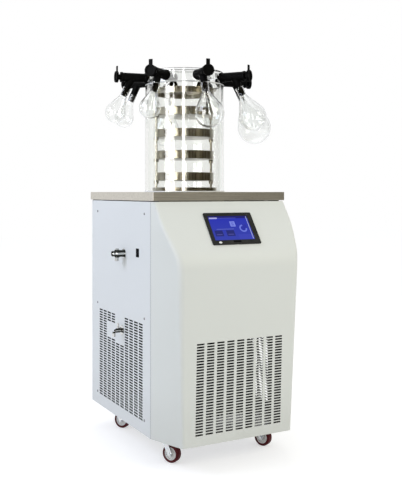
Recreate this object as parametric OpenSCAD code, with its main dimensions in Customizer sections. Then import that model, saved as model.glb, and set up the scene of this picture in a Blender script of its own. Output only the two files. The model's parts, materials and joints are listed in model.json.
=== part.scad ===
// Floor-standing laboratory freeze dryer: a sheet-metal cabinet on castors holds the refrigeration,
// a cold trap hangs in its worktop, and a clear chamber with four trays carries a manifold of eight
// valves with glass flasks. The origin is on the floor under the chamber's axis, -Y is the front.

/* [Cabinet] */
// Width across the two side panels
cabinet_w = 520; // [460:5:620]
// Depth of the side panels, from the front seam to the rear face
cabinet_d = 560; // [520:5:680]
// Height of the cabinet's underside above the floor
cabinet_foot = 90; // [86:1:110]
// Height of the worktop's upper face above the floor
worktop_z = 920; // [860:5:1000]
// Distance from the front seam back to the chamber's axis
chamber_back = 258; // [240:2:290]
// Thickness of the cabinet's sheet metal
sheet = 1.5; // [1:0.1:2]
// Shadow gap between the worktop's skirt and the panels
shadow_gap = 3; // [1:0.5:4]
// Gap at the seam between the front cover and the side panels
seam_gap = 1.5; // [0.5:0.1:2]
// Width of the folded flanges round the panels
flange_w = 15; // [10:1:20]

/* [Worktop] */
// Height of the worktop's folded edge
worktop_edge = 30; // [20:1:45]
// Overhang of the worktop past each side panel
worktop_side = 3; // [1:0.5:8]
// Overhang of the worktop past the rear face
worktop_rear = 11; // [0:1:25]
// Reach of the worktop and of the cover's upper edge ahead of the seam
worktop_lip = 26; // [20:1:40]

/* [Front cover] */
// Wall of the moulded front cover
cover_wall = 3; // [2:0.5:5]
// Angle of the upper slope from the vertical
slope_a = 36.5; // [30:0.5:42]
// Angle at which the lower face leans back
lean_a = 2.1; // [0:0.1:4]
// Reach of the cover's lower edge ahead of the seam
foot_reach = 141; // [110:1:170]
// Radius of the nose between the slope and the lower face
nose_r = 110; // [60:5:150]
// Height below the worktop at which the cheeks start to taper
taper_drop = 90; // [60:5:120]
// Height below the worktop at which the nose ends
nose_drop = 256; // [230:2:300]
// Inward taper of each cheek at the nose
nose_inset = 28; // [10:1:40]
// Inward taper of each cheek at the foot
foot_inset = 50; // [30:1:70]
// Corner radius at the cover's upper edge
corner_top_r = 8; // [4:1:12]
// Corner radius at the nose
corner_nose_r = 24; // [10:1:34]
// Corner radius at the foot
corner_foot_r = 9; // [5:1:20]

/* [Grilles] */
// Length of a slot in the front grille
front_slot_l = 28; // [16:1:33]
// Spacing of the front grille's columns
front_pitch_x = 38; // [34:1:40]
// Number of columns in the front grille
front_cols = 9; // [5:1:9]
// Number of rows in the front grille
front_rows = 33; // [10:1:33]
// Spacing of the front grille's rows
front_pitch_z = 9.3; // [8:0.1:9.6]
// Height of the front grille's lowest row above the cabinet's foot
front_grille_z = 37; // [20:1:60]
// Height of every slot
slot_h = 5.4; // [3:0.1:6]
// Length of a slot in the side grilles
side_slot_l = 32; // [14:1:36]
// Spacing of the side grilles' columns
side_pitch_y = 42; // [38:1:44]
// Number of columns in a side grille
side_cols = 10; // [5:1:10]
// Number of rows in a side grille
side_rows = 35; // [10:1:35]
// Spacing of the side grilles' rows
side_pitch_z = 9.6; // [8:0.1:10]
// Height of the side grilles' lowest row above the cabinet's foot
side_grille_z = 47; // [30:1:60]
// Distance from the seam to the side grilles' first slot
side_grille_y = 67; // [60:1:90]

/* [Screen] */
// Width of the touch screen's bezel
bezel_w = 188; // [150:1:220]
// Height of the touch screen's bezel, along the slope
bezel_h = 128; // [100:1:140]
// Height by which the bezel stands proud
bezel_t = 5; // [3:0.5:8]
// Width of the display window
display_w = 155; // [120:1:180]
// Height of the display window
display_h = 97; // [70:1:110]
// Distance of the bezel's centre below the worktop's upper face
bezel_drop = 125.5; // [110:0.5:140]

/* [Chamber] */
// Outer diameter of the clear tube
tube_d = 300; // [260:5:340]
// Wall of the clear tube
tube_wall = 10; // [6:1:14]
// Height of the manifold's joint with the tube, above the worktop
tube_top = 405; // [380:5:460]
// Height of the manifold cap
cap_h = 47; // [42:1:60]
// Thickness of the cap's top plate
cap_plate = 11; // [8:1:14]
// Thickness of the soft seals under the tube and under the cap
seal_t = 4; // [2:0.5:6]
// Radius of the cold trap's well
trap_r = 100; // [80:1:105]
// Depth of the cold trap's well
trap_depth = 260; // [180:5:320]

/* [Rack and trays] */
// Radius of the circle on which the rack's rods stand
rod_ring_r = 117; // [112:1:130]
// Diameter of a rod
rod_d = 8; // [6:0.5:10]
// Radius of a tray
tray_r = 112; // [90:1:112]
// Height of a tray's wall
tray_h = 30; // [15:1:40]
// Sheet thickness of a tray
tray_wall = 1.2; // [0.8:0.1:2]
// Height of the lowest tray's floor above the worktop
tray_z = 43; // [38:1:60]
// Spacing of the trays
tray_pitch = 81; // [60:1:84]

/* [Manifold] */
// Height of the valves' axes above the worktop
valve_z = 426; // [420:1:440]
// Angle of the first valve from the front, towards the right
valve_first_a = -9; // [-20:1:20]
// Diameter of a valve's body
valve_d = 34; // [28:1:38]
// Distance from the chamber's axis to the end of a valve's body
valve_end = 250; // [240:1:270]
// Distance from the chamber's axis to a valve's branch
branch_s = 205; // [195:1:212]
// Angle of a branch from the vertical
branch_a = 26; // [10:1:30]
// Length of a branch, from the valve's axis to its tip
branch_l = 76; // [60:1:90]
// Radius of the knob's disc
knob_r = 21; // [18:1:24]
// Height of a knob's tab above the axis
tab_h = 40; // [30:1:45]

/* [Flasks] */
// Bulb diameters of the small flasks
small_bulb_d = 76; // [60:1:90]
// Bulb diameter of the medium flasks
medium_bulb_d = 103; // [85:1:110]
// Bulb diameter of the large flasks
large_bulb_d = 130; // [110:1:135]
// Wall of the glass
glass_wall = 2; // [1.5:0.1:3]
// Distance along the branch from the valve's axis to a flask's mouth
mouth_s = 47; // [40:1:55]
// Length of a flask's straight neck
neck_l = 37; // [20:1:45]

/* [Castors] */
// Diameter of a wheel
wheel_d = 63; // [50:1:66]
// Width of a wheel's tyre
wheel_w = 24; // [18:1:28]
// Distance between a castor's swivel axis and its wheel's axis
trail = 22; // [15:1:28]
// Distance of the left swivel axes from the left side panel
swivel_left = 68; // [60:1:100]
// Distance of the right swivel axes from the right side panel
swivel_right = 81; // [60:1:100]
// Distance between the front and the rear swivel axes
castor_base = 436; // [380:2:460]
// Side of a castor's square mounting plate
plate_side = 60; // [52:1:66]

/* [Hidden] */

$fn = 64;
eps = 0.05;
running = 0.05;   // radial clearance of a shaft in its bore
seat = 0.3;       // clearance between curved faces that don't slide
face_gap = 0.03;  // between flat faces of two pieces of one node

// Cabinet planes
side_x = cabinet_w / 2;
inner_x = side_x - sheet;
seam_y = -chamber_back;
panel_y = seam_y + seam_gap;
rear_y = seam_y + cabinet_d;
panel_top = worktop_z - worktop_edge - shadow_gap;
pan_t = 2;
pan_z = cabinet_foot + pan_t;
under_top = worktop_z - sheet;

// Front cover: the slope and the lower face meet at a vertex that the nose rounds off
vertex_z = (worktop_lip + panel_top * tan(slope_a) - foot_reach + cabinet_foot * tan(lean_a))
    / (tan(slope_a) + tan(lean_a));
vertex_t = worktop_lip + (panel_top - vertex_z) * tan(slope_a);
nose_tangent = nose_r * tan((slope_a + lean_a) / 2);
nose_hi_z = vertex_z + nose_tangent * cos(slope_a);
nose_lo_z = vertex_z - nose_tangent * cos(lean_a);
nose_cz = nose_hi_z - nose_r * sin(slope_a);
nose_ct = vertex_t - nose_tangent * sin(slope_a) - nose_r * cos(slope_a);
taper_top_z = worktop_z - taper_drop;
nose_end_z = worktop_z - nose_drop;
corner_steps = 5;
arc_sections = 12;
cheek_sections = 6;

// Chamber
tube_r = tube_d / 2;
bore_r = tube_r - tube_wall;
trap_wall = 1.5;
trap_gap = 1;
trap_flange_r = 110;
cap_wall = 15;
cap_z = worktop_z + tube_top;
cap_top = cap_z + cap_h;

// Rack
base_ring_h = 17;
base_ring_w = 10;
base_ring_r = rod_ring_r + rod_d / 2 + 1;
collar_d = 18;
collar_h = 12;
tray_count = 4;
lid_gap = 18;      // height of the lid's plate above the place of one more tray
lid_t = 3;
lid_skirt = 20;
rack_top_z = worktop_z + tray_z + tray_pitch * tray_count + lid_gap;
rod_angles = [0, 90, 180];

// Manifold
valve_count = 8;
valve_axis_z = worktop_z + valve_z;
valve_bore_r = 6;
spigot_r = 12;
spigot_in = tube_r - cap_wall - 2;
branch_root_r = 14.5;
branch_tip_r = 11;
branch_bore_r = 5;
stem_in = 226;
neck_in_r = 12.6;
neck_r = neck_in_r + glass_wall;
knob_gap = 10;
knob_t = 10;
tab_w = 14;
tab_t = 4;

// Fittings on the left panel
port_y = seam_y + 232;
port_z = worktop_z - 222;
port_r = 10;
port_bore_r = 8;
port_in = 20;
port_end = 47;
switch_y = seam_y + 109;
switch_z = worktop_z - 212;
switch_w = 22;
switch_h = 30;
rocker_tilt = 8;
drain_y = seam_y + 250;
drain_z = 417;
drain_plate_r = 18;
drain_pipe_r = 6;
drain_bore_r = 4;
drain_in = 24;
drain_reach = 32;
drain_bend_r = 9;
drain_drop = 12;
blank_cols = [4, 5];
blank_low_cols = [6, 7];

// Castors
wheel_r = wheel_d / 2;
hub_r = 22;
hub_w = 22;
axle_r = 4;
kingpin_r = 5;
fork_gap = wheel_w + 4;
fork_t = 3;
plate_t = 3;
race_r = 18;
race_h = 9;
crown_t = 4;
front_swivel_y = seam_y + 20;
left_x = swivel_left - side_x;
right_x = side_x - swivel_right;
castor_places = [
    [left_x, front_swivel_y, 212],
    [right_x, front_swivel_y, 205],
    [left_x, front_swivel_y + castor_base, 215],
    [right_x, front_swivel_y + castor_base, 30]
];

paint = [0.90, 0.91, 0.90];
steel = [0.72, 0.72, 0.70];
dark_steel = [0.45, 0.44, 0.42];
chrome = [0.85, 0.85, 0.86];
zinc = [0.75, 0.76, 0.78];
rubber = [0.06, 0.06, 0.06];
black = [0.08, 0.08, 0.09];
acrylic = [0.85, 0.92, 0.95, 0.35];
silicone = [0.93, 0.93, 0.92];
copper = [0.72, 0.45, 0.30];
foam = [0.85, 0.80, 0.62];
tyre_red = [0.50, 0.06, 0.09];
screen_blue = [0.16, 0.20, 0.62];

function smooth(u) = u * u * (3 - 2 * u);
function between(a, b, u) = a + (b - a) * u;

// ---------------------------------------------------------------- front cover

// Reach of the face ahead of the seam at height z
function face_reach(z) =
    z >= nose_hi_z ? worktop_lip + (panel_top - z) * tan(slope_a)
    : z <= nose_lo_z ? foot_reach + (z - cabinet_foot) * tan(lean_a)
    : nose_ct + sqrt(nose_r * nose_r - (z - nose_cz) * (z - nose_cz));

// Share of the way down from the nose's end to the foot
function foot_share(z) = (nose_end_z - z) / (nose_end_z - cabinet_foot);

// Inward taper of a cheek's front edge at height z
function face_inset(z) =
    z >= taper_top_z ? 0
    : z >= nose_end_z ? nose_inset * smooth((taper_top_z - z) / (taper_top_z - nose_end_z))
    : between(nose_inset, foot_inset, foot_share(z));

// Radius of the corner between cheek and face at height z
function corner_r(z) =
    z >= nose_end_z ? between(corner_top_r, corner_nose_r,
        smooth(min(1, (panel_top - z) / (panel_top - nose_end_z))))
    : between(corner_nose_r, corner_foot_r, foot_share(z));

// Right half of the outline at height z, a wall w further in, from behind the seam to the face
function half_outline(z, w, back) =
    let (h = side_x - w)
    let (r = face_reach(z) - w)
    let (f = h - face_inset(z))
    let (g = atan((h - f) / (r + back)))
    let (c = max(corner_r(z) - w, 2))
    let (cx = f - c * tan((90 - g) / 2))
    concat(
        [[h, back, z]],
        [for (i = [0 : corner_steps])
            let (a = -g - (90 - g) * i / corner_steps)
            [cx + c * cos(a), -r + c + c * sin(a), z]]
    );

function outline(z, w, back) =
    let (half = half_outline(z, w, back))
    concat(half, [for (i = [len(half) - 1 : -1 : 0]) [-half[i][0], half[i][1], z]]);

// Solid through a stack of outlines that all have the same number of points
module loft(rings) {
    n = len(rings[0]);
    m = len(rings);
    sides = [for (j = [0 : m - 2], i = [0 : n - 1])
        let (a = j * n + i)
        let (b = j * n + (i + 1) % n)
        each [[a, b, a + n], [b, b + n, a + n]]];
    polyhedron(
        points = [for (ring = rings) each ring],
        faces = concat([[for (i = [n - 1 : -1 : 0]) i]], sides, [[for (i = [0 : n - 1]) (m - 1) * n + i]])
    );
}

// Heights at which the cover's outline is set out, from the foot to the top
function cover_levels(low, high) = concat(
    [for (i = [0 : cheek_sections - 1]) between(low, nose_end_z, i / cheek_sections)],
    [for (i = [0 : arc_sections]) between(nose_end_z, taper_top_z, i / arc_sections)],
    [high]
);

module cover_solid(w, back, low, high) {
    translate([0, seam_y, 0])
        loft([for (z = cover_levels(low, high)) outline(z, w, back)]);
}

// Placed on the slope, with its local Z out of the face and its local Y up the slope
module on_slope(drop) {
    z = worktop_z - drop;
    translate([0, seam_y - face_reach(z), z])
        rotate([90 - slope_a, 0, 0])
            children();
}

module front_slots() {
    for (i = [0 : front_cols - 1], j = [0 : front_rows - 1]) {
        z = cabinet_foot + front_grille_z + j * front_pitch_z;
        x = (i - (front_cols - 1) / 2) * front_pitch_x;
        translate([x - front_slot_l / 2, seam_y - face_reach(z) - 5, z - slot_h / 2])
            cube([front_slot_l, cover_wall + 10, slot_h]);
    }
}

body_margin = 5;   // how far the screen's body stays inside its bezel
body_depth = 34;

module front_cover() {
    color(paint)
        difference() {
            cover_solid(0, 0, cabinet_foot, panel_top);
            cover_solid(cover_wall, 1, cabinet_foot - 1, panel_top - cover_wall);
            front_slots();
            on_slope(bezel_drop)
                translate([0, 0, -cover_wall])
                    cube([bezel_w - 2 * body_margin + 1, bezel_h - 2 * body_margin + 1, 4 * cover_wall],
                        center = true);
        }
}

// ---------------------------------------------------------------- sheet-metal cabinet

module worktop() {
    w = cabinet_w + 2 * worktop_side;
    d = worktop_lip + cabinet_d + worktop_rear;
    color(steel)
        difference() {
            translate([-w / 2, seam_y - worktop_lip, worktop_z - worktop_edge])
                cube([w, d, worktop_edge]);
            translate([-w / 2 + sheet, seam_y - worktop_lip + sheet, worktop_z - worktop_edge - 1])
                cube([w - 2 * sheet, d - 2 * sheet, worktop_edge - sheet + 1]);
            translate([0, 0, under_top - 1])
                cylinder(r = trap_r + trap_gap, h = sheet + 2);
        }
}

screw_rows = [worktop_z - 75, worktop_z - 433, cabinet_foot + 49];
screw_front = 52;
screw_rear = 62;
screw_ys = [seam_y + screw_front, rear_y - screw_rear];
screw_r = 2.1;
screw_hole_r = 2.5;
rear_screw_x = side_x - flange_w / 2;

// Hole through the rear panel and all that lies behind it
module rear_screw_hole(x, z) {
    depth = 3 * sheet + angle_t;
    translate([x, rear_y + sheet, z])
        rotate([90, 0, 0])
            cylinder(r = screw_hole_r, h = depth + sheet, $fn = 24);
}

// One slot of a side grille is left out where the drain valve's plate sits
function side_blank(i, j) =
    (i >= blank_cols[0] && i <= blank_cols[1] && j > side_rows - 12)
    || (i >= blank_low_cols[0] && i <= blank_low_cols[1] && j > side_rows - 11 && j < side_rows - 4);

module side_slots(with_blank) {
    for (i = [0 : side_cols - 1], j = [0 : side_rows - 1])
        if (!(with_blank && side_blank(i, j))) {
            y = seam_y + side_grille_y + i * side_pitch_y;
            z = cabinet_foot + side_grille_z + j * side_pitch_z;
            translate([-side_x - 2, y, z - slot_h / 2])
                cube([sheet + 4, side_slot_l, slot_h]);
        }
}

// Pan-shaped left panel: the sheet with a flange folded in along its front and rear edges
module side_sheet() {
    h = panel_top - cabinet_foot;
    d = rear_y - sheet - panel_y;
    difference() {
        translate([-side_x, panel_y, cabinet_foot])
            cube([flange_w, d, h]);
        translate([-inner_x, panel_y + sheet, cabinet_foot - 1])
            cube([flange_w, d - 2 * sheet, h + 2]);
        translate([-inner_x, panel_y - 1, cabinet_foot - 1])
            cube([flange_w, d + 2, pan_t + 1]);
        for (y = screw_ys, z = screw_rows)
            translate([-side_x - 1, y, z])
                rotate([0, 90, 0])
                    cylinder(r = screw_hole_r, h = sheet + 2, $fn = 24);
        for (z = screw_rows)
            rear_screw_hole(-rear_screw_x, z);
    }
}

module left_side_panel() {
    color(paint)
        difference() {
            side_sheet();
            side_slots(true);
            translate([-side_x - 1, drain_y, drain_z])
                rotate([0, 90, 0])
                    cylinder(r = drain_pipe_r + 1, h = sheet + 2);
            translate([-side_x - 1, port_y, port_z])
                rotate([0, 90, 0])
                    cylinder(r = port_r + 1, h = sheet + 2);
            translate([-side_x - 1, switch_y - switch_w / 2 + 1.5, switch_z - switch_h / 2 + 1.5])
                cube([sheet + 2, switch_w - 3, switch_h - 3]);
        }
}

module right_side_panel() {
    color(paint)
        mirror([1, 0, 0])
            difference() {
                side_sheet();
                side_slots(false);
            }
}

rear_slot_l = 60;
rear_cols = 4;
rear_rows = 16;
rear_pitch_x = 76;
rear_pitch_z = 11;
inlet_x = -170;
inlet_z = cabinet_foot + 90;
inlet_w = 30;
inlet_h = 24;

module rear_panel() {
    color(paint)
        difference() {
            translate([-side_x, rear_y - sheet, cabinet_foot])
                cube([cabinet_w, sheet, panel_top - cabinet_foot]);
            for (i = [0 : rear_cols - 1], j = [0 : rear_rows - 1])
                translate([(i - (rear_cols - 1) / 2) * rear_pitch_x - rear_slot_l / 2, rear_y - sheet - 1,
                        cabinet_foot + 180 + j * rear_pitch_z])
                    cube([rear_slot_l, sheet + 2, slot_h]);
            translate([inlet_x - inlet_w / 2, rear_y - sheet - 1, inlet_z - inlet_h / 2])
                cube([inlet_w, sheet + 2, inlet_h]);
            for (s = [-1, 1], z = screw_rows)
                rear_screw_hole(s * rear_screw_x, z);
        }
}

pan_edge = 20;
pan_fit = 1;

module base_pan() {
    foot_x = side_x - foot_inset - cover_wall - pan_fit;
    foot_y = foot_reach - cover_wall - pan_fit;
    color(zinc)
        difference() {
            union() {
                translate([0, 0, cabinet_foot])
                    linear_extrude(pan_t)
                        polygon([
                            [inner_x, rear_y - sheet], [inner_x, panel_y + sheet],
                            [side_x - cover_wall - pan_fit, seam_y], [foot_x, seam_y - foot_y],
                            [-foot_x, seam_y - foot_y], [-(side_x - cover_wall - pan_fit), seam_y],
                            [-inner_x, panel_y + sheet], [-inner_x, rear_y - sheet]
                        ]);
                for (s = [-1, 1])
                    translate([s > 0 ? inner_x - pan_t : -inner_x, panel_y + sheet + 75, pan_z - eps])
                        cube([pan_t, cabinet_d - 165, pan_edge]);
            }
            for (x = [-60, 60], y = [100, 200])
                translate([x, y, cabinet_foot - 1])
                    cylinder(r = 12, h = pan_t + 2);
        }
}

leg_long = 70;
leg_short = 30;
angle_t = 2;

// Folded upright of the left front corner
module upright() {
    h = under_top - pan_z;
    difference() {
        translate([-inner_x, panel_y + sheet, pan_z])
            cube([leg_short, leg_long, h]);
        translate([-inner_x + angle_t, panel_y + sheet + angle_t, pan_z - 1])
            cube([leg_short, leg_long, h + 2]);
        for (z = screw_rows)
            translate([-inner_x - 1, seam_y + screw_front, z])
                rotate([0, 90, 0])
                    cylinder(r = screw_hole_r, h = angle_t + 2, $fn = 24);
    }
}

module rear_upright() {
    h = under_top - pan_z;
    y = rear_y - 2 * sheet;
    difference() {
        translate([-inner_x, y - leg_long - 5, pan_z])
            cube([leg_short, leg_long + 5, h]);
        translate([-inner_x + angle_t, y - leg_long - 6, pan_z - 1])
            cube([leg_short, leg_long + 6 - angle_t, h + 2]);
        for (z = screw_rows)
            translate([-inner_x - 1, rear_y - screw_rear, z])
                rotate([0, 90, 0])
                    cylinder(r = screw_hole_r, h = angle_t + 2, $fn = 24);
        for (z = screw_rows)
            rear_screw_hole(-rear_screw_x, z);
    }
}

module rail_x(y) {
    translate([-inner_x + angle_t, y, under_top - leg_short])
        cube([2 * (inner_x - angle_t), angle_t, leg_short]);
}

module frame() {
    color(zinc) {
        union() {
            for (m = [0, 1])
                mirror([m, 0, 0]) {
                    upright();
                    rear_upright();
                    translate([-inner_x, panel_y + sheet + leg_long - 1, under_top - leg_short])
                        cube([angle_t, cabinet_d - 2 * leg_long, leg_short]);
                }
            rail_x(panel_y + sheet);
            rail_x(rear_y - 2 * sheet - angle_t);
        }
    }
}

// Domed screw head on a short shank that ends inside the frame's upright
module screw() {
    head_h = 2;
    head_r = 4.5;
    translate([0, 0, -sheet - angle_t])
        cylinder(r = screw_r, h = sheet + angle_t, $fn = 24);
    rotate_extrude($fn = 32)
        polygon([[0, 0], [head_r, 0], [head_r, 0.5], [head_r * 0.8, 1.4], [head_r * 0.45, head_h], [0, head_h]]);
}

module panel_screws() {
    color(chrome) {
        for (s = [-1, 1], y = screw_ys, z = screw_rows)
            translate([s * side_x, y, z])
                rotate([0, s * 90, 0])
                    screw();
        for (s = [-1, 1], z = screw_rows)
            translate([s * rear_screw_x, rear_y, z])
                rotate([-90, 0, 0])
                    screw();
    }
}

// ---------------------------------------------------------------- touch screen

module rounded_plate(w, h, t, r) {
    linear_extrude(t)
        union() {
            square([w - 2 * r, h], center = true);
            square([w, h - 2 * r], center = true);
            for (x = [-1, 1], y = [-1, 1])
                translate([x * (w / 2 - r), y * (h / 2 - r)])
                    circle(r = r, $fn = 24);
        }
}

glass_t = 2;
glass_sink = 0.8;
display_x = -3.5;
display_y = 1.5;

module screen_bezel() {
    color(black)
        on_slope(bezel_drop)
            difference() {
                union() {
                    rounded_plate(bezel_w, bezel_h, bezel_t, 4);
                    translate([0, 0, -body_depth])
                        linear_extrude(body_depth + eps)
                            square([bezel_w - 2 * body_margin, bezel_h - 2 * body_margin], center = true);
                }
                translate([display_x, display_y, bezel_t - glass_sink - glass_t])
                    linear_extrude(glass_t + 2)
                        square([display_w, display_h], center = true);
            }
}

module display_glass() {
    color(screen_blue)
        on_slope(bezel_drop)
            translate([display_x, display_y, bezel_t - glass_sink - glass_t])
                linear_extrude(glass_t)
                    square([display_w, display_h], center = true);
}

// ---------------------------------------------------------------- fittings on the left panel

// Local +Z points out of the left panel
module on_left(y, z) {
    translate([-side_x, y, z])
        rotate([0, -90, 0])
            children();
}

housing_t = 1.8;
pivot_z = -3;
pivot_r = 1.2;

module switch_housing() {
    color(black)
        on_left(switch_y, switch_z)
            difference() {
                union() {
                    translate([-switch_h / 2, -switch_w / 2, 0])
                        cube([switch_h, switch_w, housing_t]);
                    translate([-switch_h / 2 + 1.8, -switch_w / 2 + 1.8, -22])
                        cube([switch_h - 3.6, switch_w - 3.6, 22 + eps]);
                }
                translate([-switch_h / 2 + 3, -switch_w / 2 + 3, -12])
                    cube([switch_h - 6, switch_w - 6, 22]);
                translate([0, switch_w, pivot_z])
                    rotate([90, 0, 0])
                        cylinder(r = pivot_r + running, h = 2 * switch_w, $fn = 24);
            }
}

// Rocker on two trunnions in the housing's side walls
module switch_rocker() {
    w = switch_w - 7;
    color(black)
        on_left(switch_y, switch_z)
            translate([0, 0, pivot_z])
                rotate([0, rocker_tilt, 0]) {
                    translate([0, w / 2, 0])
                        rotate([90, 0, 0])
                            linear_extrude(w)
                                polygon([
                                    [-10.5, 2], [-10.5, 5.6], [0, 4.6], [10.5, 5.6], [10.5, 2], [3, -5], [-3, -5]
                                ]);
                    translate([0, switch_w / 2 - 2, 0])
                        rotate([90, 0, 0])
                            cylinder(r = pivot_r, h = switch_w - 4, $fn = 24);
                }
}

kf_r = 14;

// Local +Z points out of the panel, as everywhere on the left side
module vacuum_port() {
    color(chrome)
        on_left(port_y, port_z)
            rotate_extrude()
                polygon([
                    [port_bore_r, -port_in], [port_r, -port_in], [port_r, 0], [17, 0], [17, 2], [12.5, 3],
                    [12.5, 22], [kf_r, 24], [kf_r, 26], [kf_r - 1, 27], [kf_r, 28], [kf_r, 30],
                    [port_r, 33], [port_r, port_end - 1], [port_r - 1, port_end], [port_bore_r, port_end]
                ]);
}

clamp_z = 27;
clamp_w = 11;
clamp_in_r = kf_r + 0.2;
clamp_r = 16;
lug_y = 7;
bolt_r = 2;
bolt_drop = clamp_r + 6;
wing_reach = 6.5;

module port_clamp() {
    color(chrome)
        on_left(port_y, port_z) {
            difference() {
                union() {
                    translate([0, 0, clamp_z - clamp_w / 2])
                        cylinder(r = clamp_r, h = clamp_w);
                    translate([-bolt_drop - 5, -lug_y, clamp_z - clamp_w / 2])
                        cube([bolt_drop - 7, 2 * lug_y, clamp_w]);
                    translate([clamp_r - 5, -4, clamp_z - clamp_w / 2])
                        cube([8, 8, clamp_w]);
                }
                translate([0, 0, clamp_z - clamp_w])
                    cylinder(r = clamp_in_r, h = 2 * clamp_w);
                translate([-bolt_drop - 6, -1.2, clamp_z - clamp_w])
                    cube([clamp_r, 2.4, 2 * clamp_w]);
            }
            translate([-bolt_drop, -lug_y - 1.5, clamp_z])
                rotate([-90, 0, 0])
                    cylinder(r = bolt_r, h = 2 * lug_y + 15, $fn = 24);
            translate([-bolt_drop, -lug_y - 3, clamp_z])
                rotate([-90, 0, 0])
                    cylinder(r = 4, h = 3, $fn = 6);
        }
}

module clamp_wing_nut() {
    color(chrome)
        on_left(port_y, port_z)
            translate([-bolt_drop, lug_y + seat, clamp_z])
                rotate([-90, 0, 0])
                    difference() {
                        union() {
                            cylinder(r = 4, h = 6, $fn = 32);
                            translate([-wing_reach, -1.2, 1])
                                cube([2 * wing_reach, 2.4, 9]);
                        }
                        translate([0, 0, -1])
                            cylinder(r = bolt_r + running, h = 14, $fn = 24);
                    }
}

valve_stem_s = 16;

module drain_valve() {
    color(chrome)
        on_left(drain_y, drain_z)
            difference() {
                union() {
                    cylinder(r = drain_plate_r, h = 2);
                    translate([0, 0, -drain_in])
                        cylinder(r = drain_pipe_r, h = drain_in + drain_reach - drain_bend_r);
                    translate([0, 0, valve_stem_s - 7])
                        cylinder(r = 8.5, h = 14, $fn = 6);
                    translate([0, 0, valve_stem_s])
                        rotate([0, 90, 0])
                            cylinder(r = 4.5, h = 11, $fn = 32);
                    translate([-drain_bend_r, 0, drain_reach - drain_bend_r])
                        rotate([90, 0, 0])
                            rotate_extrude(angle = 90)
                                translate([drain_bend_r, 0])
                                    circle(r = drain_pipe_r, $fn = 32);
                    translate([-drain_bend_r - drain_drop, 0, drain_reach])
                        rotate([0, 90, 0])
                            cylinder(r = drain_pipe_r, h = drain_drop);
                }
                translate([-drain_bend_r - drain_drop - 1, 0, drain_reach])
                    rotate([0, 90, 0])
                        cylinder(r = drain_bore_r, h = drain_drop + 1);
                translate([0, 0, -drain_in - 1])
                    cylinder(r = drain_bore_r, h = drain_in + 1);
                translate([5, 0, valve_stem_s])
                    rotate([0, 90, 0])
                        cylinder(r = 2 + running, h = 8, $fn = 32);
            }
}

// Lever with its stem, turning about the vertical on top of the drain valve
module drain_lever() {
    color(chrome)
        on_left(drain_y, drain_z)
            translate([0, 0, valve_stem_s])
                rotate([0, 90, 0]) {
                    translate([0, 0, 6])
                        cylinder(r = 2, h = 6, $fn = 32);
                    translate([0, 0, 11.3])
                        cylinder(r = 4.5, h = 3, $fn = 32);
                    translate([-1.5, -6, 14])
                        cube([3, 12, 13]);
                }
}

module power_inlet() {
    color(black)
        translate([inlet_x, rear_y, inlet_z])
            rotate([-90, 0, 0])
                difference() {
                    union() {
                        rounded_plate(50, 34, 3, 3);
                        translate([0, 0, -24])
                            linear_extrude(24 + eps)
                                square([inlet_w - 1, inlet_h - 1], center = true);
                    }
                    translate([0, 0, -18])
                        linear_extrude(30)
                            square([inlet_w - 5, inlet_h - 6], center = true);
                }
    color(chrome)
        for (x = [-7, 0, 7])
            translate([inlet_x + x - 1, rear_y - 18 - eps, inlet_z - 3])
                cube([2, 14, 6]);
}

// ---------------------------------------------------------------- refrigeration inside the cabinet

trap_low_z = under_top - trap_depth;
stub_end = 172;
spout_l = 58;

// Well with a side stub for the vacuum hose and a spout in its floor for the drain hose
module cold_trap() {
    color(steel)
        difference() {
            union() {
                translate([0, 0, trap_low_z])
                    cylinder(r = trap_r, h = trap_depth + sheet);
                translate([0, 0, worktop_z])
                    cylinder(r = trap_flange_r, h = trap_wall);
                translate([-stub_end, port_y, port_z])
                    rotate([0, 90, 0])
                        cylinder(r = port_r, h = stub_end - trap_r + 10);
                translate([0, drain_y, trap_low_z - spout_l])
                    cylinder(r = drain_pipe_r, h = spout_l + trap_wall / 2);
            }
            translate([0, 0, trap_low_z + trap_wall])
                cylinder(r = trap_r - trap_wall, h = trap_depth + 10);
            translate([-stub_end - 1, port_y, port_z])
                rotate([0, 90, 0])
                    cylinder(r = port_bore_r, h = stub_end - trap_r + 20);
            translate([0, drain_y, trap_low_z - spout_l - 1])
                cylinder(r = drain_bore_r, h = spout_l + 10);
        }
}

hose_wall = 3;
hose_lap = 16;   // how far a hose is pushed over a pipe
bend_r = 50;

module tube_z(r_in, h) {
    difference() {
        cylinder(r = r_in + hose_wall, h = h);
        translate([0, 0, -1])
            cylinder(r = r_in, h = h + 2);
    }
}

// Hoses inside the cabinet: from the trap's stub to the vacuum port, from its spout to the drain valve
module inner_hoses() {
    r = drain_pipe_r + running;
    top = trap_low_z - insulation_floor - 2;
    color(rubber) {
        translate([-side_x + port_in - hose_lap, port_y, port_z])
            rotate([0, 90, 0])
                tube_z(port_r + running, side_x - port_in + 2 * hose_lap - stub_end);
        translate([0, drain_y, drain_z + bend_r])
            tube_z(r, top - drain_z - bend_r);
        translate([-bend_r, drain_y, drain_z + bend_r])
            rotate([90, 0, 0])
                rotate([0, 0, -90])
                    rotate_extrude(angle = 90)
                        translate([bend_r, 0])
                            difference() {
                                circle(r = r + hose_wall);
                                circle(r = r);
                            }
        translate([-side_x + drain_in - hose_lap, drain_y, drain_z])
            rotate([0, 90, 0])
                tube_z(r, side_x - drain_in + hose_lap - bend_r);
    }
}

coil_r = 4;
coil_steps = 30;
coil_ring_r = (trap_r + seat) / cos(180 / coil_steps) + coil_r;
coil_turns = 7;
coil_pitch = 30;
coil_sides = 8;
coil_low_z = trap_low_z + 8.3;

function coil_ring(i) =
    let (a = 360 * i / coil_steps)
    let (z = coil_low_z + coil_pitch * i / coil_steps)
    [for (k = [0 : coil_sides - 1])
        let (b = 360 * k / coil_sides)
        let (r = coil_ring_r + coil_r * cos(b))
        [r * cos(a), r * sin(a), z + coil_r * sin(b)]];

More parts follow.
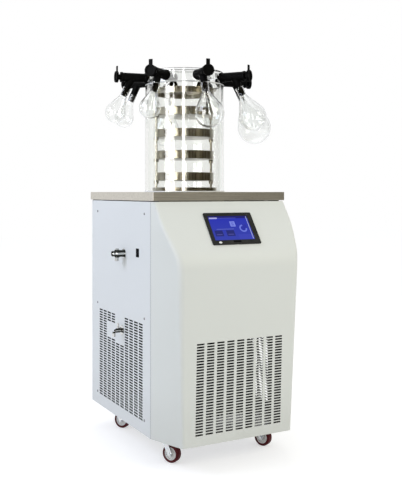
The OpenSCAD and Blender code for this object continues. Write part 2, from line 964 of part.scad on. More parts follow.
module evaporator_coil() {
    color(copper)
        loft([for (i = [0 : coil_turns * coil_steps]) coil_ring(i)]);
}

insulation_in_r = coil_ring_r + coil_r + seat;
insulation_r = 150;
insulation_floor = 35;

module trap_insulation() {
    color(foam)
        difference() {
            translate([0, 0, trap_low_z - insulation_floor])
                cylinder(r = insulation_r, h = trap_depth + insulation_floor);
            translate([0, 0, trap_low_z])
                cylinder(r = insulation_in_r, h = trap_depth + 1);
            translate([-insulation_r - 1, port_y, port_z])
                rotate([0, 90, 0])
                    cylinder(r = port_r + seat, h = insulation_r);
            translate([0, drain_y, trap_low_z - insulation_floor - 1])
                cylinder(r = drain_pipe_r + seat, h = insulation_floor + 2);
        }
}

compressor_x = 85;
compressor_y = rear_y - 152;
compressor_r = 78;
compressor_h = 165;

module compressor() {
    color(black)
        translate([compressor_x, compressor_y, pan_z]) {
            difference() {
                union() {
                    translate([0, 0, 14])
                        rotate_extrude()
                            polygon([
                                [0, 0], [compressor_r - 30, 0], [compressor_r - 12, 8], [compressor_r - 3, 24],
                                [compressor_r - 3, 78], [compressor_r, 80], [compressor_r, 86],
                                [compressor_r - 3, 88], [compressor_r - 3, compressor_h - 30],
                                [compressor_r - 12, compressor_h - 12], [compressor_r - 34, compressor_h],
                                [0, compressor_h]
                            ]);
                    translate([-95, -55, 11])
                        cube([190, 110, 4]);
                    translate([-compressor_r - 18, -22, 70])
                        cube([30, 44, 50]);
                    for (y = [-30, 30])
                        translate([30, y, 14 + compressor_h - 8])
                            cylinder(r = 5, h = 26, $fn = 32);
                }
                for (x = [-85, 85], y = [-45, 45])
                    translate([x, y, 0])
                        cylinder(r = 5, h = 30, $fn = 32);
            }
            for (x = [-85, 85], y = [-45, 45])
                translate([x, y, 0])
                    difference() {
                        cylinder(r = 9, h = 11, $fn = 32);
                        translate([0, 0, -1])
                            cylinder(r = 4, h = 13, $fn = 32);
                    }
        }
}

condenser_w = 300;
condenser_h = 260;
condenser_d = 50;
condenser_y = seam_y + 20;
condenser_z = pan_z + 30;
fin_count = 19;
fin_t = 1.2;

module condenser() {
    fin_pitch = (condenser_w - fin_t) / (fin_count - 1);
    tube_pitch = condenser_h / 5;
    color(steel)
        union() {
            for (i = [0 : fin_count - 1])
                translate([-condenser_w / 2 + i * fin_pitch, condenser_y, condenser_z])
                    cube([fin_t, condenser_d, condenser_h]);
            for (j = [0 : 4])
                translate([-condenser_w / 2 - 8, condenser_y + condenser_d / 2, condenser_z + (j + 0.5) * tube_pitch])
                    rotate([0, 90, 0])
                        cylinder(r = 5, h = condenser_w + 16, $fn = 32);
            for (s = [-1, 1])
                translate([s * (condenser_w / 2 + 6) - 1, condenser_y, pan_z])
                    cube([2, condenser_d, condenser_h + 30]);
        }
}

shroud_y = condenser_y + condenser_d;
fan_z = condenser_z + condenser_h / 2;
fan_r = 105;
shroud_depth = 30;
motor_y = shroud_y + 60;
shaft_r = 4;

module fan_shroud() {
    color(black)
        difference() {
            union() {
                translate([-condenser_w / 2 - 7, shroud_y, condenser_z])
                    cube([condenser_w + 14, 2, condenser_h]);
                translate([0, shroud_y + eps, fan_z])
                    rotate([-90, 0, 0])
                        cylinder(r = fan_r + 8, h = shroud_depth);
            }
            translate([0, shroud_y - 1, fan_z])
                rotate([-90, 0, 0])
                    cylinder(r = fan_r + 5, h = shroud_depth + 4);
        }
    color(dark_steel) {
        for (s = [-1, 1])
            translate([s * (fan_r + 14) - 6, shroud_y + 1, fan_z - 6])
                cube([12, motor_y - shroud_y + 20, 12]);
        translate([-fan_r - 20, motor_y + 18, fan_z - 20])
            cube([2 * fan_r + 40, 3, 40]);
        translate([0, motor_y - 22, fan_z])
            rotate([-90, 0, 0])
                cylinder(r = 36, h = 42);
        translate([0, shroud_y + 8, fan_z])
            rotate([-90, 0, 0])
                cylinder(r = shaft_r, h = motor_y - 22 - shroud_y - 8 + eps, $fn = 32);
    }
}

blade_count = 5;
blade_pitch_a = 28;

module fan_blades() {
    color(steel)
        translate([0, shroud_y + 20, fan_z])
            rotate([-90, 0, 0])
                difference() {
                    union() {
                        translate([0, 0, -10])
                            cylinder(r = 20, h = 20);
                        for (k = [0 : blade_count - 1])
                            rotate([0, 0, k * 360 / blade_count])
                                intersection() {
                                    translate([15, 0, 0])
                                        rotate([blade_pitch_a, 0, 0])
                                            translate([0, -26, -0.8])
                                                cube([fan_r, 52, 1.6]);
                                    translate([0, 0, -20])
                                        cylinder(r = fan_r - 3, h = 40);
                                }
                    }
                    translate([0, 0, -20])
                        cylinder(r = shaft_r + running, h = 40, $fn = 32);
                }
}

control_w = 200;
control_h = 150;
control_d = 70;
control_x = 70 - side_x;
control_z = worktop_z - 360;

// Open-fronted tray on the rear panel for the electrics
module control_box() {
    t = 2;
    color(zinc)
        translate([control_x, rear_y - sheet - control_d, control_z])
            difference() {
                cube([control_w, control_d, control_h]);
                translate([t, -1, t])
                    cube([control_w - 2 * t, control_d - t + 1, control_h - 2 * t]);
            }
}

// ---------------------------------------------------------------- chamber

module chamber_seals() {
    lap = 2;
    color(silicone) {
        translate([0, 0, worktop_z])
            difference() {
                cylinder(r = tube_r + lap, h = seal_t);
                translate([0, 0, -1])
                    cylinder(r = bore_r - lap, h = seal_t + 2);
            }
        translate([0, 0, cap_z - seal_t])
            difference() {
                cylinder(r = tube_r, h = seal_t);
                translate([0, 0, -1])
                    cylinder(r = bore_r, h = seal_t + 2);
            }
    }
}

module chamber_tube() {
    color(acrylic)
        translate([0, 0, worktop_z + seal_t])
            difference() {
                cylinder(r = tube_r, h = tube_top - 2 * seal_t);
                translate([0, 0, -1])
                    cylinder(r = bore_r, h = tube_top + 2);
            }
}

// Placed at valve k with local +X along the valve's axis, away from the chamber
module at_valve(k) {
    a = valve_first_a + 360 / valve_count * (k - 1);
    translate([0, 0, valve_axis_z])
        rotate([0, 0, a - 90])
            children();
}

// Along local +X from distance a to distance b
module radial(r, a, b, fn = 48) {
    translate([a, 0, 0])
        rotate([0, 90, 0])
            cylinder(r = r, h = b - a, $fn = fn);
}

module manifold_cap() {
    color(acrylic)
        difference() {
            translate([0, 0, cap_z])
                rotate_extrude()
                    polygon([
                        [0, cap_h - cap_plate], [tube_r - cap_wall, cap_h - cap_plate], [tube_r - cap_wall, 0],
                        [tube_r, 0], [tube_r, cap_h - 2], [tube_r - 2, cap_h], [0, cap_h]
                    ]);
            for (k = [1 : valve_count])
                at_valve(k)
                    radial(spigot_r + running, spigot_in - 10, tube_r + 10);
        }
}

// Ring on the worktop, three rods with a collar under each tray, and a skirted lid held by nuts
module tray_rack() {
    foot_z = worktop_z + base_ring_h;
    color(steel) {
        translate([0, 0, worktop_z])
            difference() {
                cylinder(r = base_ring_r, h = base_ring_h);
                translate([0, 0, -1])
                    cylinder(r = base_ring_r - base_ring_w, h = base_ring_h + 2);
            }
        for (a = rod_angles)
            rotate([0, 0, a])
                translate([rod_ring_r, 0, 0]) {
                    translate([0, 0, foot_z + face_gap])
                        cylinder(r = rod_d / 2, h = rack_top_z - foot_z - 2 * face_gap, $fn = 32);
                    for (i = [0 : tray_count - 1])
                        translate([0, 0, worktop_z + tray_z + i * tray_pitch - collar_h])
                            cylinder(r = collar_d / 2, h = collar_h, $fn = 32);
                    translate([0, 0, rack_top_z + lid_t + face_gap])
                        cylinder(r = 6, h = 5, $fn = 6);
                }
        rack_lid();
    }
}

module rack_lid() {
    skirt_r = rod_ring_r - rod_d / 2 - 1;
    translate([0, 0, rack_top_z])
        cylinder(r = rod_ring_r + rod_d / 2, h = lid_t);
    translate([0, 0, rack_top_z + lid_t - lid_skirt])
        difference() {
            cylinder(r = skirt_r, h = lid_skirt - lid_t + eps);
            translate([0, 0, -1])
                cylinder(r = skirt_r - 1.5, h = lid_skirt - lid_t + 1);
        }
}

module tray(i) {
    rim = 1.5;
    color(dark_steel)
        translate([0, 0, worktop_z + tray_z + (i - 1) * tray_pitch])
            rotate_extrude($fn = 96)
                polygon([
                    [0, 0], [tray_r - rim - 1, 0], [tray_r - rim, 1], [tray_r - rim, tray_h - 2.4],
                    [tray_r, tray_h - 1.8], [tray_r, tray_h], [tray_r - rim - tray_wall, tray_h],
                    [tray_r - rim - tray_wall, tray_wall + 1], [tray_r - rim - tray_wall - 1, tray_wall],
                    [0, tray_wall]
                ]);
}

// ---------------------------------------------------------------- manifold valves and flasks

// Local +Z runs down the branch, from the valve's axis
module along_branch() {
    translate([branch_s, 0, 0])
        rotate([0, 180 - branch_a, 0])
            children();
}

module valve_body() {
    difference() {
        union() {
            radial(spigot_r, spigot_in, tube_r + 1);
            radial(valve_d / 2 + 2, tube_r + seat, tube_r + 8);
            radial(valve_d / 2, tube_r + 8 - eps, valve_end - 8);
            radial(valve_d / 2 + 2, valve_end - 8 - eps, valve_end);
            along_branch()
                cylinder(r1 = branch_root_r, r2 = branch_tip_r, h = branch_l, $fn = 48);
        }
        radial(valve_bore_r + running, spigot_in - 1, valve_end + 1);
        along_branch()
            cylinder(r = branch_bore_r, h = branch_l + 1, $fn = 32);
    }
}

module valve_bodies() {
    color(rubber)
        for (k = [1 : valve_count])
            at_valve(k)
                valve_body();
}

// Knob with the stem that plugs the valve's bore; its tab stands up when the valve is shut
module valve_knob(k) {
    disc_s = valve_end + knob_gap;
    color(rubber)
        at_valve(k)
            union() {
                radial(valve_bore_r, stem_in, disc_s, 32);
                radial(valve_bore_r + 4, valve_end + seat, disc_s + 1, 32);
                difference() {
                    radial(knob_r, disc_s, disc_s + knob_t);
                    radial(knob_r - 6, disc_s + knob_t - 4, disc_s + knob_t + 1);
                }
                translate([disc_s + 1, -tab_w / 2, knob_r - 8])
                    cube([tab_t, tab_w, tab_h - knob_r + 8]);
            }
}

shoulder_s = mouth_s + neck_l;
bulb_rise = 1.65;   // distance from shoulder to bulb centre, in bulb radii
arc_step = 7.5;

// Pear-shaped profile with radius r at the bulb, n at the neck and its bulb's centre at c, from the
// point where the tangent cone meets the bulb round to the pole
function pear(r, n, c) =
    let (d = sqrt((c - shoulder_s) * (c - shoulder_s) + n * n))
    let (t = asin(r / d) - atan(n / (c - shoulder_s)))
    let (steps = ceil((90 + t) / arc_step))
    [for (i = [0 : steps])
        let (a = -t + (90 + t) * i / steps)
        [r * cos(a), c + r * sin(a)]];

// Blown flask: a mouth with a rolled lip, a straight neck, a cone that runs tangent into the bulb
module flask(d) {
    r = d / 2;
    c = shoulder_s + bulb_rise * r;
    outer = pear(r, neck_r, c);
    inner = pear(r - glass_wall, neck_in_r, c);
    along_branch()
        rotate_extrude($fn = 72)
            polygon(concat(
                [[neck_in_r, mouth_s], [neck_r + 1, mouth_s], [neck_r + 1, mouth_s + 2], [neck_r, mouth_s + 3],
                    [neck_r, shoulder_s]],
                outer,
                [for (i = [len(inner) - 1 : -1 : 0]) inner[i]],
                [[neck_in_r, shoulder_s]]
            ));
}

small_places = [4, 6, 7, 8];
medium_places = [1, 2];
large_places = [3, 5];

module flask_group(places, d) {
    color(acrylic)
        for (k = places)
            at_valve(k)
                flask(d);
}

module small_flasks() { flask_group(small_places, small_bulb_d); }
module medium_flasks() { flask_group(medium_places, medium_bulb_d); }
module large_flasks() { flask_group(large_places, large_bulb_d); }

// ---------------------------------------------------------------- castors

module at_castor(k) {
    place = castor_places[k - 1];
    translate([place[0], place[1], 0])
        rotate([0, 0, place[2]])
            children();
}

race_z = cabinet_foot - plate_t - race_h;
crown_z = race_z - seat - crown_t;

module castor_plates() {
    color(zinc)
        for (k = [1 : 4])
            translate([castor_places[k - 1][0], castor_places[k - 1][1], 0])
                difference() {
                    union() {
                        translate([-plate_side / 2, -plate_side / 2, cabinet_foot - plate_t])
                            cube([plate_side, plate_side, plate_t]);
                        translate([0, 0, race_z])
                            cylinder(r = race_r, h = race_h + eps, $fn = 48);
                    }
                    translate([0, 0, race_z - 1])
                        cylinder(r = kingpin_r + running, h = race_h + 3, $fn = 48);
                }
}

// Fork with its kingpin above and its axle through both legs; it trails towards local +Y
module castor_fork(k) {
    leg_x = fork_gap / 2;
    color(zinc)
        at_castor(k)
            union() {
                translate([0, 0, crown_z])
                    cylinder(r = race_r + 1, h = crown_t, $fn = 48);
                translate([0, 0, crown_z + crown_t - eps])
                    cylinder(r = kingpin_r, h = race_h + seat + 1, $fn = 32);
                for (s = [-1, 1])
                    translate([s > 0 ? leg_x : -leg_x - fork_t, 0, 0])
                        rotate([90, 0, 90])
                            linear_extrude(fork_t)
                                polygon([
                                    [-10, crown_z + crown_t - 0.5], [12, crown_z + crown_t - 0.5],
                                    [trail + 9, wheel_r + 4], [trail + 6, wheel_r - 7], [trail - 6, wheel_r - 7],
                                    [trail - 10, wheel_r + 2]
                                ]);
                translate([-leg_x - fork_t, trail, wheel_r])
                    rotate([0, 90, 0])
                        cylinder(r = axle_r, h = fork_gap + 2 * fork_t, $fn = 32);
                for (s = [-1, 1])
                    translate([s > 0 ? leg_x + fork_t - eps : -leg_x - fork_t - 4, trail, wheel_r])
                        rotate([0, 90, 0])
                            cylinder(r = 6.5, h = 4 + eps, $fn = 6);
            }
}

// Wheels turn about local X at the fork's axle
module at_axle(k) {
    at_castor(k)
        translate([0, trail, wheel_r])
            rotate([0, 90, 0])
                children();
}

module castor_hub(k) {
    recess_r = 9;
    color(silicone)
        at_axle(k)
            rotate_extrude($fn = 48)
                polygon([
                    [axle_r + running, -hub_w / 2 - 1.5], [recess_r, -hub_w / 2 - 1.5], [recess_r, -hub_w / 2 + 4],
                    [hub_r - 4, -hub_w / 2 + 4], [hub_r - 3, -hub_w / 2], [hub_r, -hub_w / 2],
                    [hub_r, hub_w / 2], [hub_r - 3, hub_w / 2], [hub_r - 4, hub_w / 2 - 4],
                    [recess_r, hub_w / 2 - 4], [recess_r, hub_w / 2 + 1.5], [axle_r + running, hub_w / 2 + 1.5]
                ]);
}

module castor_tyre(k) {
    crown_r = 4;
    color(tyre_red)
        at_axle(k)
            rotate_extrude($fn = 72)
                polygon([
                    [hub_r + eps, -hub_w / 2], [wheel_r - crown_r, -wheel_w / 2], [wheel_r - 1.2, -wheel_w / 2 + 1.2],
                    [wheel_r, -wheel_w / 2 + crown_r], [wheel_r, wheel_w / 2 - crown_r],
                    [wheel_r - 1.2, wheel_w / 2 - 1.2], [wheel_r - crown_r, wheel_w / 2], [hub_r + eps, hub_w / 2]
                ]);
}

worktop();
left_side_panel();
right_side_panel();
rear_panel();
front_cover();
base_pan();
frame();
panel_screws();
screen_bezel();
display_glass();
switch_housing();
switch_rocker();
vacuum_port();
port_clamp();
clamp_wing_nut();
drain_valve();
drain_lever();
power_inlet();
cold_trap();
inner_hoses();
evaporator_coil();
trap_insulation();
compressor();
condenser();
fan_shroud();
fan_blades();
control_box();
chamber_seals();
chamber_tube();
manifold_cap();
tray_rack();
tray(1);  // tray_1
tray(2);  // tray_2
tray(3);  // tray_3
tray(4);  // tray_4
valve_bodies();
valve_knob(1);  // valve_knob_1
valve_knob(2);  // valve_knob_2
valve_knob(3);  // valve_knob_3
valve_knob(4);  // valve_knob_4
valve_knob(5);  // valve_knob_5
valve_knob(6);  // valve_knob_6
valve_knob(7);  // valve_knob_7
valve_knob(8);  // valve_knob_8
small_flasks();
medium_flasks();
large_flasks();
castor_plates();
castor_fork(1);  // castor_fork_1
castor_fork(2);  // castor_fork_2
castor_fork(3);  // castor_fork_3
castor_fork(4);  // castor_fork_4
castor_hub(1);  // castor_hub_1
castor_hub(2);  // castor_hub_2
castor_hub(3);  // castor_hub_3
castor_hub(4);  // castor_hub_4
castor_tyre(1);  // castor_tyre_1
castor_tyre(2);  // castor_tyre_2
castor_tyre(3);  // castor_tyre_3
castor_tyre(4);  // castor_tyre_4
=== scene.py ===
# %% [markdown]
# # A laboratory freeze dryer
# A freeze dryer pulls ice out of samples in a vacuum. A painted cabinet hides the refrigeration, a cold
# trap hangs in the steel worktop, and a clear chamber above it holds four trays and eight rubber valves
# with glass flasks. The solids come packed from CAD. This lesson dresses them: each piece gets a finish
# made of nodes, and the moulded and blown pieces get smooth skins.

import json
import math

import bmesh
import bpy
from mathutils import Matrix, Vector


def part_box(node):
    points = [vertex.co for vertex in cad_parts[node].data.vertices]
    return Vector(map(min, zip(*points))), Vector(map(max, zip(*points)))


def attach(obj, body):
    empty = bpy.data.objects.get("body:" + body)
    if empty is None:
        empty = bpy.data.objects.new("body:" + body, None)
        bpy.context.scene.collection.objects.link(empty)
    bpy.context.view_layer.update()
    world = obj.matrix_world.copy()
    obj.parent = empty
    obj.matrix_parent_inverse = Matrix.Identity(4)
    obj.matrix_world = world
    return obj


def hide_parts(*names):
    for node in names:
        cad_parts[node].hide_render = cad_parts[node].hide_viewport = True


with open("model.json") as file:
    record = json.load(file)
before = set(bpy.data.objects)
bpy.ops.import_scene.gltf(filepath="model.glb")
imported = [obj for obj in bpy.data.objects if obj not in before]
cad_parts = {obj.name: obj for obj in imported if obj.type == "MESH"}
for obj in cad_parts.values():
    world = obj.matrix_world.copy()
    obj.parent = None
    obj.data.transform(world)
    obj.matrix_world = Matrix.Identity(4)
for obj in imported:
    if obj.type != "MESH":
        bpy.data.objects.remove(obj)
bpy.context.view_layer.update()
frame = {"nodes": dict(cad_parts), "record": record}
scene = bpy.context.scene
nodes = frame["nodes"]

# %% [markdown]
# ## A small language for finishes
# A procedural finish is arithmetic on sockets. Wiring each Math node by hand hides the idea, so a thin
# class wraps a socket and lets Python's operators add the nodes.

# %% Wire
class Wire:
    """A socket's output that can be added, scaled and compared like a number."""

    def __init__(self, finish, socket):
        self.finish, self.socket = finish, socket

    def _math(self, operation, *values):
        return self.finish.node("ShaderNodeMath", {"operation": operation}, dict(enumerate(values))).out(0)

    def __add__(self, other): return self._math("ADD", self, other)
    def __radd__(self, other): return self._math("ADD", other, self)
    def __sub__(self, other): return self._math("SUBTRACT", self, other)
    def __rsub__(self, other): return self._math("SUBTRACT", other, self)
    def __mul__(self, other): return self._math("MULTIPLY", self, other)
    def __rmul__(self, other): return self._math("MULTIPLY", other, self)
    def __gt__(self, other): return self._math("GREATER_THAN", self, other)
    def __lt__(self, other): return self._math("LESS_THAN", self, other)
    def __abs__(self): return self._math("ABSOLUTE", self)
    def __pow__(self, other): return self._math("POWER", self, other)

    def clamp(self): return self.finish.node("ShaderNodeClamp", {}, {"Value": self}).out(0)


print("wire ready")

# %% [markdown]
# Every other node comes from one method that takes the node's type, its settings and the values or wires of
# its sockets. The methods after it are short names for the few nodes that nearly every finish uses. The
# world has a node tree too, so the same class serves the studio's background.

# %% Finish class
class Step:
    """One node of a finish."""

    def __init__(self, finish, item):
        self.finish, self.item = finish, item

    def out(self, name):
        return Wire(self.finish, self.item.outputs[name])


class Finish:
    """A material, or the world, that is written as an expression."""

    def __init__(self, name, shelf=bpy.data.materials):
        self.owner = shelf.new(name)
        self.owner.use_nodes = True
        self.tree = self.owner.node_tree
        self.tree.nodes.clear()

    def node(self, kind, settings, sockets):
        item = self.tree.nodes.new(kind)
        for key, value in settings.items():
            if key == "stops":
                ramp = item.color_ramp
                while len(ramp.elements) < len(value):
                    ramp.elements.new(1.0)
                for element, (place, colour) in zip(ramp.elements, value):
                    element.position = place
                    element.color = (*colour, 1.0)
            else:
                setattr(item, key, value)
        for key, value in sockets.items():
            socket = item.inputs[key]
            if isinstance(value, Wire):
                self.tree.links.new(value.socket, socket)
            elif isinstance(value, tuple) and socket.type == "RGBA" and len(value) == 3:
                socket.default_value = (*value, 1.0)
            else:
                socket.default_value = value
        return Step(self, item)

    def point(self, stretch=(1.0, 1.0, 1.0), centre=(0.0, 0.0, 0.0)):
        """Object coordinates, moved so that centre is the origin, and stretched."""
        place = self.node("ShaderNodeTexCoord", {}, {}).out("Object")
        shift = tuple(-c * s for c, s in zip(centre, stretch))
        sockets = {"Vector": place, "Location": shift, "Scale": stretch}
        return self.node("ShaderNodeMapping", {}, sockets).out(0)

    def axes(self, vector):
        parts = self.node("ShaderNodeSeparateXYZ", {}, {"Vector": vector})
        return parts.out("X"), parts.out("Y"), parts.out("Z")

    def noise(self, vector, scale, detail=3.0, rough=0.5):
        sockets = {"Vector": vector, "Scale": scale, "Detail": detail, "Roughness": rough}
        return self.node("ShaderNodeTexNoise", {}, sockets).out("Fac")

    def mix(self, mask, a, b):
        return self.node("ShaderNodeMix", {"data_type": "RGBA"}, {"Factor": mask, 6: a, 7: b}).out(2)

    def ramp(self, value, stops):
        return self.node("ShaderNodeValToRGB", {"stops": stops}, {"Fac": value}).out("Color")

    def bump(self, height, distance, strength=1.0):
        sockets = {"Height": height, "Distance": distance, "Strength": strength}
        return self.node("ShaderNodeBump", {}, sockets).out("Normal")

    def bright_rays(self):
        """1 for rays from the camera and for those that metal or glass sends on, and 0 for the rest."""
        ray = self.node("ShaderNodeLightPath", {}, {})
        return (ray.out("Is Camera Ray") + ray.out("Is Glossy Ray") + ray.out("Is Transmission Ray")).clamp()

    def surface(self, sockets):
        shader = self.node("ShaderNodeBsdfPrincipled", {}, sockets).out("BSDF")
        self.node("ShaderNodeOutputMaterial", {}, {"Surface": shader})
        return self.owner


def scaled(values, share):
    """A colour or a stretch, times a number."""
    return tuple(share * value for value in values)


print("finish class ready")

# %% [markdown]
# ## Camera
# The camera stands level, a little left of the front, at the height of the worktop, so that the worktop
# is seen edge on. Tilting it down would take in the castors too, but it would make the upright edges lean
# together. A vertical lens shift brings the whole machine into the frame and keeps them parallel.

# %% Camera
eye = (-1.326, -2.584, 0.920)
heading = -28.4
camera_data = bpy.data.cameras.new("camera")
camera_data.sensor_width = 36.0
camera_data.lens = 55.8
camera_data.shift_y = -0.109
camera = bpy.data.objects.new("camera", camera_data)
camera.location = eye
camera.rotation_euler = (math.radians(90.0), 0.0, math.radians(heading))
scene.collection.objects.link(camera)
scene.camera = camera
scene.view_settings.view_transform = "Standard"
print("camera", eye, "heading", heading)

# %% [markdown]
# ## Background
# A white background could come from more light, but that would flood the paint. Here the world is two
# things: a weaker and slightly blue fill for the paint, and plain white for rays from the camera and for
# those that metal or glass sends on, so chrome and flasks mirror a bright studio.

# %% World
sky = Finish("studio", bpy.data.worlds)
scene.world = sky.owner
fill = sky.node("ShaderNodeBackground", {}, {"Color": (0.984, 0.992, 1.0), "Strength": 0.68}).out(0)
white = sky.node("ShaderNodeBackground", {}, {"Color": (1.0, 1.0, 1.0), "Strength": 1.0}).out(0)
choice = sky.node("ShaderNodeMixShader", {}, {0: sky.bright_rays(), 1: fill, 2: white}).out(0)
sky.node("ShaderNodeOutputWorld", {}, {"Surface": choice})
print("world ready")

# %% [markdown]
# ## Lamps
# Painted sheet metal wants broad, soft light. A large cool lamp at the left lights the side panel, a warm
# one at the right front lights the cover, a weak strip near the camera fills in between, and another weak
# lamp hangs above. Clear and bright pieces want highlights of their own, such as the line down the tube, so
# two more lamps are seen by mirrors and glass alone and add no light to the paint.

# %% Lamps
aim = Vector((0.0, 0.0, 0.8))


def softbox(name, bearing, distance, height, size, radiance, colour=(1.0, 1.0, 1.0), mirror_only=False):
    """A lamp that faces the machine. The bearing is counted from +X towards +Y, in degrees."""
    lamp_data = bpy.data.lights.new(name, "AREA")
    lamp_data.shape = "RECTANGLE"
    lamp_data.size, lamp_data.size_y = size
    lamp_data.energy = radiance * math.pi * size[0] * size[1]
    lamp_data.color = colour
    lamp = bpy.data.objects.new(name, lamp_data)
    a = math.radians(bearing)
    lamp.location = (distance * math.cos(a), distance * math.sin(a), height)
    lamp.rotation_euler = (aim - lamp.location).to_track_quat("-Z", "Y").to_euler()
    lamp.visible_diffuse = not mirror_only
    scene.collection.objects.link(lamp)
    print(name, [round(v, 2) for v in lamp.location])


camera_side = 239.6
strip_light = (0.42, 1.6)
softbox("left_lamp", bearing=172.0, distance=2.4, height=2.3, size=(1.4, 1.4), radiance=5.05,
        colour=(0.725, 0.795, 1.0))
softbox("left_shine", bearing=199.0, distance=3.4, height=1.35, size=(1.7, 2.0), radiance=11.0,
        mirror_only=True)
softbox("camera_lamp", bearing=camera_side, distance=3.4, height=1.45, size=strip_light, radiance=1.8,
        colour=(1.0, 0.985, 0.95))
softbox("camera_shine", bearing=camera_side, distance=3.5, height=1.45, size=strip_light, radiance=9.0,
        mirror_only=True)
softbox("right_lamp", bearing=296.0, distance=4.2, height=2.8, size=(1.6, 1.6), radiance=6.9,
        colour=(1.0, 0.955, 0.80))
softbox("top_lamp", bearing=80.0, distance=1.4, height=3.8, size=(2.0, 2.0), radiance=1.6)

# %% [markdown]
# ## Dark screen
# Chrome and glass need something dark to show, or they melt into the white. A dark screen stands far out,
# from the rear left round the front to the right, and its top slopes in over the machine like an unlit
# ceiling. It could be a few planes, but their corners would show in the tube, so one section of four points
# is spun about the chamber's axis. Only rays that mirrors and glass send see it.

# %% Dark screen
screen_start, screen_sweep, screen_steps = math.radians(150.0), math.radians(217.0), 58
way_out = Vector((math.cos(screen_start), math.sin(screen_start), 0.0))
out_and_up = [(6.0, 0.0), (6.0, 4.0), (5.0, 5.0), (1.0, 5.0)]
screen_shape = bmesh.new()
rim = [screen_shape.verts.new(way_out * out + Vector((0.0, 0.0, up))) for out, up in out_and_up]
for pair in zip(rim, rim[1:]):
    screen_shape.edges.new(pair)
bmesh.ops.spin(screen_shape, geom=screen_shape.verts[:] + screen_shape.edges[:], cent=(0.0, 0.0, 0.0),
               axis=(0.0, 0.0, 1.0), angle=screen_sweep, steps=screen_steps)
screen_mesh = bpy.data.meshes.new("dark_screen")
screen_shape.to_mesh(screen_mesh)
screen_shape.free()
dark_screen = bpy.data.objects.new("dark_screen", screen_mesh)
scene.collection.objects.link(dark_screen)
dark_screen.visible_camera = False
dark_screen.visible_diffuse = False
dark_screen.visible_shadow = False
unlit = Finish("dark_screen")
glow = unlit.node("ShaderNodeEmission", {}, {"Color": (0.070, 0.057, 0.030), "Strength": 1.0}).out(0)
unlit.node("ShaderNodeOutputMaterial", {}, {"Surface": glow})
screen_mesh.materials.append(unlit.owner)
print("dark screen faces", len(screen_mesh.polygons))

# %% [markdown]
# ## Floor
# The floor is a plain pale sheet. It takes the machine's shadow like any matt surface, and for the rays that
# the camera, metal and glass see it also glows a little, so that it runs into the white background. The glow
# grows with the distance, because the lamps reach the far edge less.

# %% Floor
floor_reach = 12.0
near_glow, far_glow = (0.50, 0.50, 0.50), (0.56, 0.56, 0.56)
glow_start, glow_span = 2.4, 4.0
floor_shape = bmesh.new()
bmesh.ops.create_grid(floor_shape, x_segments=1, y_segments=1, size=floor_reach)
floor_mesh = bpy.data.meshes.new("floor")
floor_shape.to_mesh(floor_mesh)
floor_shape.free()
floor = bpy.data.objects.new("floor", floor_mesh)
scene.collection.objects.link(floor)
pale = Finish("floor")
matt = pale.node("ShaderNodeBsdfDiffuse", {}, {"Color": (0.65, 0.65, 0.65)}).out(0)
far = pale.node("ShaderNodeVectorMath", {"operation": "LENGTH"}, {0: pale.point()}).out("Value")
glow = pale.mix(((far - glow_start) * (1.0 / glow_span)).clamp(), near_glow, far_glow)
lit = pale.node("ShaderNodeEmission", {}, {"Color": glow, "Strength": 1.0}).out(0)
both = pale.node("ShaderNodeAddShader", {}, {0: matt, 1: lit}).out(0)
pale.node("ShaderNodeOutputMaterial", {}, {
    "Surface": pale.node("ShaderNodeMixShader", {}, {0: pale.bright_rays(), 1: matt, 2: both}).out(0)})
floor_mesh.materials.append(pale.owner)
print("floor", round(floor.dimensions.x), "m wide")

# %% [markdown]
# ## Painted sheet metal
# Powder coat is smooth from afar, but it has a fine ripple, like orange peel, and its gloss drifts a little
# from place to place. Towards the floor it is painted darker in patches, which is painted shade. The side
# panels and the moulded front cover share the recipe. The front's warmer white and the side's cooler white
# are painted light, which adds to the warm lamp on the front and the cool lamp at the side. The inner faces
# are painted black as painted shade, for the dark inside of the cabinet: a face is an inner one where its
# normal points back towards the cabinet's middle. The walls of the slots face up or down, and are painted
# black as well, as the shade in the slots. So is the folded edge of a panel that shows in the seam by the
# front cover, as the shade in the seam.

# %% Powder coat
cabinet_middle = (0.0, 0.0, 0.49)
# Where the painted shade near the floor begins, and how fast it comes in.
low_shade_top, low_shade_fade = 0.26, 4.0
along_axis = 0.99
shade_black = (0.010, 0.010, 0.011)
low_shade_colour = (0.42, 0.40, 0.36)


def powder_coat(name, colour, gloss, seam_shade=0.0):
    """White paint with inner faces painted black as shade; a seam share of 1 paints front faces black as
    seam shade.
    """
    finish = Finish(name)
    place = finish.point()
    height = finish.axes(place)[2]
    cloud = finish.noise(place, 4.0, 4.0)
    ripple = finish.noise(place, 380.0, 2.0)
    # Painted shade: darker in patches towards the floor.
    low_shade = ((low_shade_top - height) * low_shade_fade).clamp() * cloud
    clean = finish.mix(cloud * 0.5, colour, scaled(colour, 0.955))
    face = finish.node("ShaderNodeNewGeometry", {}, {}).out("True Normal")
    outwards = finish.node("ShaderNodeVectorMath", {"operation": "DOT_PRODUCT"},
                           {0: face, 1: finish.point(centre=cabinet_middle)}).out("Value")
    _, along, up = finish.axes(face)
    # Painted shade: inner faces, the slot walls and, with a seam share, the seam's folded edge turn black.
    painted_shade_mask = ((outwards < 0.0) + (abs(up) > along_axis) + (along < -along_axis) * seam_shade).clamp()
    clean = finish.mix(painted_shade_mask, clean, shade_black)
    return finish.surface({
        "Base Color": finish.mix(low_shade * 0.35, clean, low_shade_colour),
        "Roughness": gloss + cloud * 0.12,
        "Specular IOR Level": 0.22,
        "Normal": finish.bump(ripple, 0.00005, 0.5),
    })


